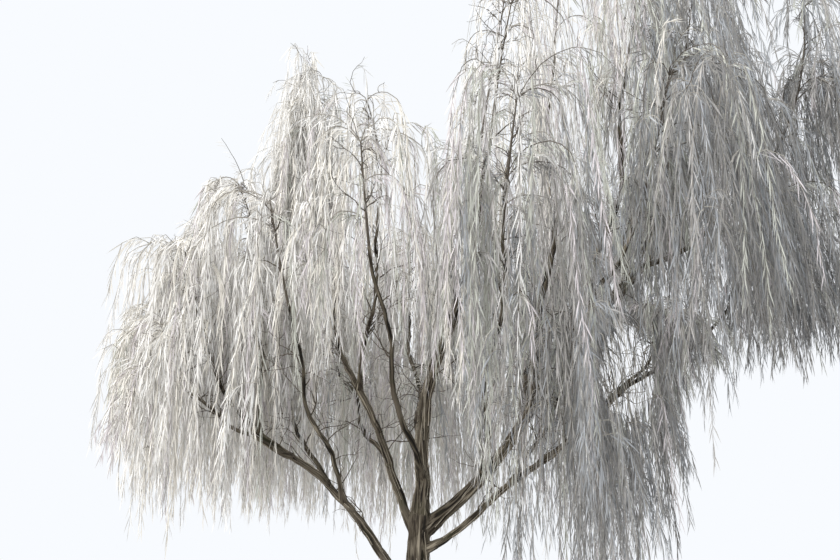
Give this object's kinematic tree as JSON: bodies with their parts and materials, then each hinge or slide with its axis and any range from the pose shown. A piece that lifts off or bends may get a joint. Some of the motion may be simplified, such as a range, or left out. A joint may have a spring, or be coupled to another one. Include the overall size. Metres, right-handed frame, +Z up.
{
  "type": "weeping willow tree",
  "caption": "Weeping willow with a low-forking fibrous trunk and long silvery curtains of narrow leaves hanging from arching shoots, its hem raised on the right.",
  "frame": {"origin": "middle of the flat cut under the trunk, at ground level", "axes": "+Z up the trunk, +X towards the longer, higher-hemmed side of the crown, -Y towards the viewer of the picture"},
  "size_m": [7.4076, 6.474, 7.9444],
  "materials": {
    "bark": "fibrous grey-brown bark with long pale strips",
    "foliage": "matt silver-white narrow leaves and thin pale twigs"
  },
  "bodies": {
    "root": {"bough_back": "bark", "bough_back_left": "bark", "bough_back_right": "bark", "bough_crown_back": "bark", "bough_crown_front": "bark", "bough_far_right": "bark", "bough_front": "bark", "bough_front_left": "bark", "bough_inner_front": "bark", "bough_inner_left": "bark", "bough_leader": "bark", "bough_left": "bark", "bough_left_back": "bark", "bough_left_front": "bark", "bough_left_low": "bark", "bough_left_rise": "bark", "bough_low_front": "bark", "bough_low_outer": "bark", "bough_low_right": "bark", "bough_right": "bark", "bough_right_back": "bark", "bough_right_front": "bark", "bough_top": "bark", "bough_top_front": "bark", "foliage_back": "foliage", "foliage_back_left": "foliage", "foliage_back_right": "foliage", "foliage_crown_back": "foliage", "foliage_crown_front": "foliage", "foliage_far_right": "foliage", "foliage_front": "foliage", "foliage_front_left": "foliage", "foliage_inner_front": "foliage", "foliage_inner_left": "foliage", "foliage_leader": "foliage", "foliage_left": "foliage", "foliage_left_back": "foliage", "foliage_left_front": "foliage", "foliage_left_low": "foliage", "foliage_left_rise": "foliage", "foliage_low_front": "foliage", "foliage_low_outer": "foliage", "foliage_low_right": "foliage", "foliage_right": "foliage", "foliage_right_back": "foliage", "foliage_right_front": "foliage", "foliage_top": "foliage", "foliage_top_front": "foliage", "trunk": "bark"}
  },
  "joints": []
}
